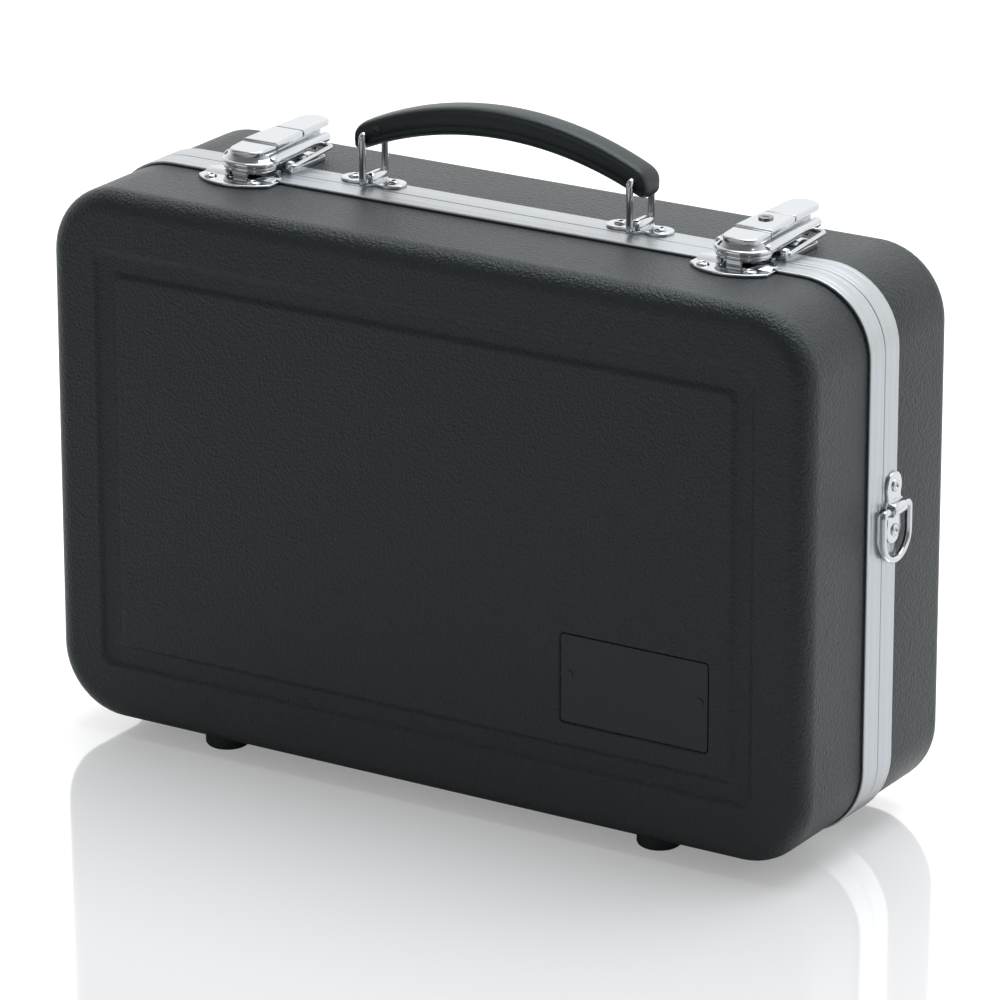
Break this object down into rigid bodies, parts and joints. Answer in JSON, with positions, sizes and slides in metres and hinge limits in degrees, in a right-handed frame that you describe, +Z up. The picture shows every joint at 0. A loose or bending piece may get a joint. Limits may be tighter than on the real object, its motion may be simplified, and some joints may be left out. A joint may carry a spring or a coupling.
{
  "type": "clarinet case",
  "caption": "Rectangular moulded clarinet case with an aluminium seam band, bowed top handle, wire-bail latches, strap rings, feet and a fitted tray.",
  "frame": {"origin": "on the ground under the middle of the case", "axes": "+X along the case to the right as seen from the lid, +Y from the lid to the body, +Z up towards the handle"},
  "size_m": [0.3594, 0.1118, 0.2705],
  "materials": {
    "shell_plastic": "fine moulded grain, satin charcoal",
    "valance_aluminium": "brushed along its length",
    "hardware_chrome": "bright nickel-chrome plate",
    "hinge_steel": "plated steel",
    "lock_brass": "nickel-plated lock plug",
    "grip_plastic": "smooth satin moulded plastic",
    "badge_enamel": "smooth satin black, left plain",
    "foot_rubber": "moulded",
    "lining_plush": "short dark plush over foam"
  },
  "bodies": {
    "body": {"body_hinge_leaf_left": "hinge_steel", "body_hinge_leaf_right": "hinge_steel", "body_hinge_rivets": "hinge_steel", "handle_plate_left": "hardware_chrome", "handle_plate_right": "hardware_chrome", "handle_plate_rivets": "hardware_chrome", "hinge_pin_left": "hinge_steel", "hinge_pin_right": "hinge_steel", "instrument_tray": "lining_plush", "latch_base_left": "hardware_chrome", "latch_base_right": "hardware_chrome", "latch_base_rivets_left": "hardware_chrome", "latch_base_rivets_right": "hardware_chrome", "rear_feet": "foot_rubber", "rear_foot_screws": "hinge_steel", "rear_shell": "shell_plastic", "rear_valance": "valance_aluminium", "strap_plate_left": "hardware_chrome", "strap_plate_right": "hardware_chrome", "strap_plate_rivets": "hardware_chrome"},
    "lid": {"badge_plate": "badge_enamel", "badge_rivets": "badge_enamel", "catch_plate_left": "hardware_chrome", "catch_plate_right": "hardware_chrome", "catch_rivets_left": "hardware_chrome", "catch_rivets_right": "hardware_chrome", "front_feet": "foot_rubber", "front_foot_screws": "hinge_steel", "front_shell": "shell_plastic", "front_valance": "valance_aluminium", "lid_hinge_leaf_left": "hinge_steel", "lid_hinge_leaf_right": "hinge_steel", "lid_hinge_rivets": "hinge_steel", "lid_lining": "lining_plush"},
    "handle_bail_left": {"handle_bail_left": "hardware_chrome"},
    "handle_grip": {"handle_grip": "grip_plastic", "handle_grip_rivets": "hardware_chrome"},
    "handle_bail_right": {"handle_bail_right": "hardware_chrome"},
    "latch_bail_left": {"latch_bail_left": "hardware_chrome"},
    "hasp_left": {"hasp_plate_left": "hardware_chrome", "hasp_cover_left": "hardware_chrome"},
    "strap_ring_left": {"strap_ring_left": "hardware_chrome"},
    "latch_bail_right": {"latch_bail_right": "hardware_chrome"},
    "hasp_right": {"hasp_plate_right": "hardware_chrome", "hasp_cover_right": "hardware_chrome"},
    "strap_ring_right": {"strap_ring_right": "hardware_chrome"},
    "lock_plug": {"lock_plug": "lock_brass"}
  },
  "joints": [
    {"name": "lid_hinge", "type": "hinge", "parent": "body", "child": "lid", "pos_m": [0, 0.0014, 0.0027], "axis": [1, 0, 0], "range_deg": [0, 165]},
    {"name": "handle_swing", "type": "hinge", "parent": "body", "child": "handle_bail_left", "pos_m": [-0.0604, 0.0088, 0.2328], "axis": [0, 1, 0], "range_deg": [-60, 60]},
    {"name": "handle_grip_pivot", "type": "hinge", "parent": "handle_bail_left", "child": "handle_grip", "pos_m": [-0.0604, 0.0088, 0.252], "axis": [0, 1, 0], "range_deg": [-60, 60]},
    {"name": "handle_bail_right_swing", "type": "hinge", "parent": "body", "child": "handle_bail_right", "pos_m": [0.0624, 0.0088, 0.2328], "axis": [0, 1, 0], "range_deg": [-60, 60]},
    {"name": "latch_left_lift", "type": "hinge", "parent": "body", "child": "latch_bail_left", "pos_m": [-0.1098, 0.0026, 0.2335], "axis": [1, 0, 0], "range_deg": [0, 90]},
    {"name": "latch_left_hasp", "type": "hinge", "parent": "latch_bail_left", "child": "hasp_left", "pos_m": [-0.1098, 0.0309, 0.2353], "axis": [1, 0, 0], "range_deg": [-54, 0]},
    {"name": "latch_right_lift", "type": "hinge", "parent": "body", "child": "latch_bail_right", "pos_m": [0.1165, 0.0026, 0.2335], "axis": [1, 0, 0], "range_deg": [0, 90]},
    {"name": "latch_right_hasp", "type": "hinge", "parent": "latch_bail_right", "child": "hasp_right", "pos_m": [0.1165, 0.0309, 0.2353], "axis": [1, 0, 0], "range_deg": [-54, 0]},
    {"name": "lock_turn", "type": "hinge", "parent": "hasp_right", "child": "lock_plug", "pos_m": [0.1151, 0.014, 0.2427], "axis": [0, 0, 1], "range_deg": [0, 90]},
    {"name": "strap_ring_left_swing", "type": "hinge", "parent": "body", "child": "strap_ring_left", "pos_m": [-0.1769, 0.0088, 0.138], "axis": [0, 1, 0], "range_deg": [0, 170]},
    {"name": "strap_ring_right_swing", "type": "hinge", "parent": "body", "child": "strap_ring_right", "pos_m": [0.1769, 0.0088, 0.138], "axis": [0, -1, 0], "range_deg": [0, 170]}
  ],
  "couplings": [
    {"joint": "handle_grip_pivot", "follows": "handle_swing", "ratio": -1},
    {"joint": "handle_bail_right_swing", "follows": "handle_swing", "ratio": 1},
    {"joint": "latch_left_hasp", "follows": "latch_left_lift", "ratio": -0.6},
    {"joint": "latch_right_hasp", "follows": "latch_right_lift", "ratio": -0.6}
  ]
}
